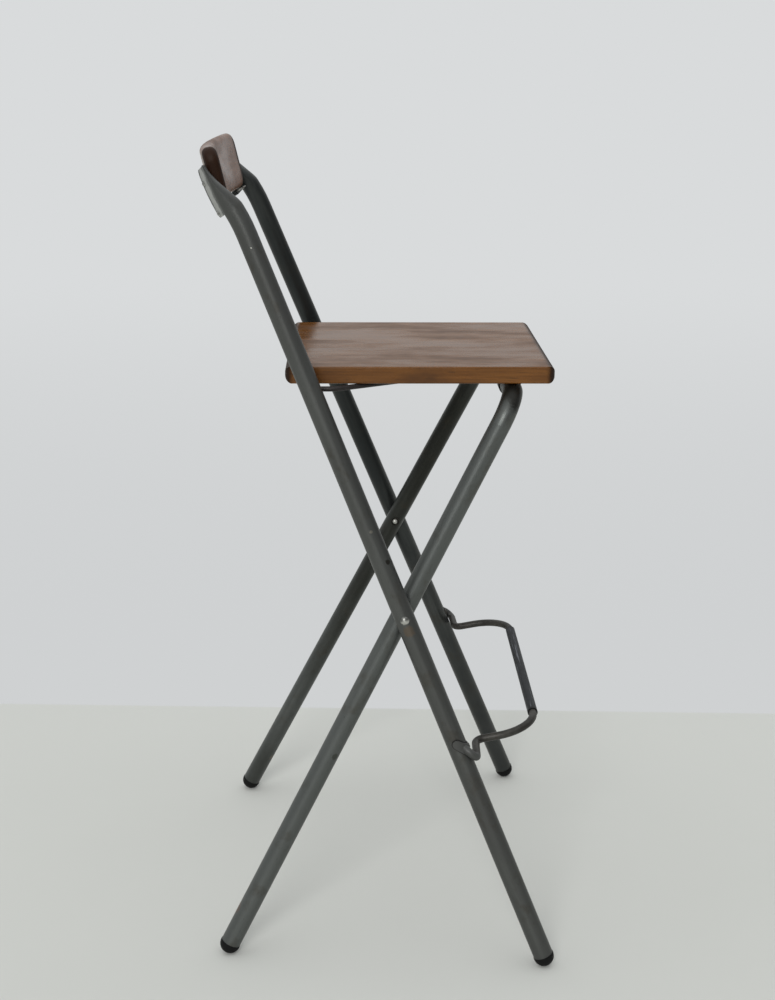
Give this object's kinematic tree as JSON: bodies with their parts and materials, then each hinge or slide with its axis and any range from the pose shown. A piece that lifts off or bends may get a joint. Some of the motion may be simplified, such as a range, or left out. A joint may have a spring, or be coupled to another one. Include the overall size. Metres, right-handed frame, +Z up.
{
  "type": "folding bar stool",
  "caption": "Tall folding stool: crossed round-tube steel frames, flat wooden seat, curved wooden backrest, bent-rod footrest with a sleeve, and a wire link that folds the seat.",
  "frame": {"origin": "on the floor, in the middle plane, under the middle of the stool's length, with the stool open", "axes": "+X the way the sitter faces, +Y the sitter's left, +Z up"},
  "size_m": [0.4478, 0.5856, 1.0174],
  "materials": {
    "frame_steel": "worn gunmetal paint, semi-gloss",
    "rod_steel": "worn brown-grey paint",
    "sleeve_paint": "dark blue-grey paint with lengthwise scuffs",
    "wood": "brown stain under semi-gloss varnish",
    "rubber": "matt black",
    "plated_steel": "dull zinc plating"
  },
  "bodies": {
    "back_frame": {"back_tube_left": "frame_steel", "back_tube_right": "frame_steel", "backrest_board": "wood", "backrest_screws": "plated_steel", "footrest_rod": "rod_steel", "footrest_sleeve": "sleeve_paint", "footrest_welds": "rod_steel", "front_foot_left": "rubber", "front_foot_right": "rubber", "pivot_rivet_left": "plated_steel", "pivot_rivet_right": "plated_steel"},
    "leg_frame": {"leg_frame_tube": "frame_steel", "rear_foot_left": "rubber", "rear_foot_right": "rubber", "pivot_spacer_left": "plated_steel", "pivot_spacer_right": "plated_steel", "pivot_washer_left": "plated_steel", "pivot_washer_right": "plated_steel"},
    "seat": {"seat_board": "wood", "seat_strap_left": "plated_steel", "seat_strap_right": "plated_steel", "seat_strap_screws": "plated_steel", "link_clip_left": "plated_steel", "link_clip_right": "plated_steel", "link_clip_screws": "plated_steel"},
    "link": {"link_rod": "rod_steel"}
  },
  "joints": [
    {"name": "fold", "type": "hinge", "parent": "back_frame", "child": "leg_frame", "pos_m": [0.0302, 0, 0.454], "axis": [0, -1, 0], "range_deg": [0, 40]},
    {"name": "seat_hinge", "type": "hinge", "parent": "leg_frame", "child": "seat", "pos_m": [0.16527, 0, 0.7214], "axis": [0, 1, 0], "range_deg": [0, 115]},
    {"name": "link_hinge", "type": "hinge", "parent": "seat", "child": "link", "pos_m": [0.0499, 0, 0.73085], "axis": [0, -1, 0], "range_deg": [0, 155.5]}
  ],
  "couplings": [
    {"joint": "seat_hinge", "follows": "fold", "ratio": 2.8745},
    {"joint": "link_hinge", "follows": "fold", "ratio": 3.886}
  ]
}
